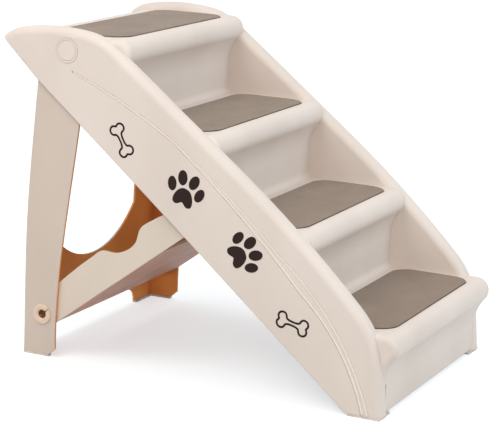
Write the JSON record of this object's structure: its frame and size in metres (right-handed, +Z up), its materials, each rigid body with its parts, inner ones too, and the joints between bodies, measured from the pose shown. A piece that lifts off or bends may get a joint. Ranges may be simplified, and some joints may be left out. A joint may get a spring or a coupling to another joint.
{
  "type": "folding pet stairs",
  "caption": "Folding plastic stairs for a pet: moulded steps with side walls and carpet mats, a hinged rear leg frame and a hooked brace.",
  "frame": {"origin": "centre of the overall box on the floor, with the stairs unfolded and standing", "axes": "+Z up, -Y towards the low front step, +Y towards the high rear, +X to the right seen from the front"},
  "size_m": [0.4, 0.639, 0.5001],
  "materials": {
    "bone_prints_left": "dark brown print",
    "bone_prints_right": "dark brown print",
    "brace": "beige moulded plastic, fine satin grain",
    "front_pad_left": "soft beige rubber",
    "front_pad_right": "soft beige rubber",
    "hinge_cap_left": "cream moulded plastic",
    "hinge_cap_right": "cream moulded plastic",
    "hinge_pin_left": "beige moulded plastic",
    "hinge_pin_right": "beige moulded plastic",
    "leg_frame": "beige moulded plastic, fine satin grain",
    "mat_1": "short taupe textile pile",
    "mat_2": "short taupe textile pile",
    "mat_3": "short taupe textile pile",
    "mat_4": "short taupe textile pile",
    "mat_backing_1": "dark rubber backing",
    "mat_backing_2": "dark rubber backing",
    "mat_backing_3": "dark rubber backing",
    "mat_backing_4": "dark rubber backing",
    "paw_prints_left": "dark brown print",
    "paw_prints_right": "dark brown print",
    "rear_pad_left": "soft beige rubber",
    "rear_pad_right": "soft beige rubber",
    "snap_pin_left": "pale tan moulded plastic",
    "snap_pin_right": "pale tan moulded plastic",
    "stair_body": "cream moulded plastic, fine satin grain"
  },
  "bodies": {
    "stairs": {"stair_body": "stair_body", "bone_prints_left": "bone_prints_left", "bone_prints_right": "bone_prints_right", "front_pad_left": "front_pad_left", "front_pad_right": "front_pad_right", "hinge_cap_left": "hinge_cap_left", "hinge_cap_right": "hinge_cap_right", "hinge_pin_left": "hinge_pin_left", "hinge_pin_right": "hinge_pin_right", "mat_1": "mat_1", "mat_2": "mat_2", "mat_3": "mat_3", "mat_4": "mat_4", "mat_backing_1": "mat_backing_1", "mat_backing_2": "mat_backing_2", "mat_backing_3": "mat_backing_3", "mat_backing_4": "mat_backing_4", "paw_prints_left": "paw_prints_left", "paw_prints_right": "paw_prints_right"},
    "leg": {"leg_frame": "leg_frame", "rear_pad_left": "rear_pad_left", "rear_pad_right": "rear_pad_right", "snap_pin_left": "snap_pin_left", "snap_pin_right": "snap_pin_right"},
    "brace": {"brace": "brace"}
  },
  "joints": [
    {"name": "leg_fold", "type": "hinge", "parent": "stairs", "child": "leg", "pos_m": [0, 0.20852, 0.468], "axis": [-1, 0, 0], "range_deg": [0, 47]},
    {"name": "brace_fold", "type": "hinge", "parent": "leg", "child": "brace", "pos_m": [0, 0.25241, 0.065], "axis": [-1, 0, 0], "range_deg": [0, 49.5]}
  ],
  "couplings": [
    {"joint": "brace_fold", "follows": "leg_fold", "ratio": 1.05}
  ]
}
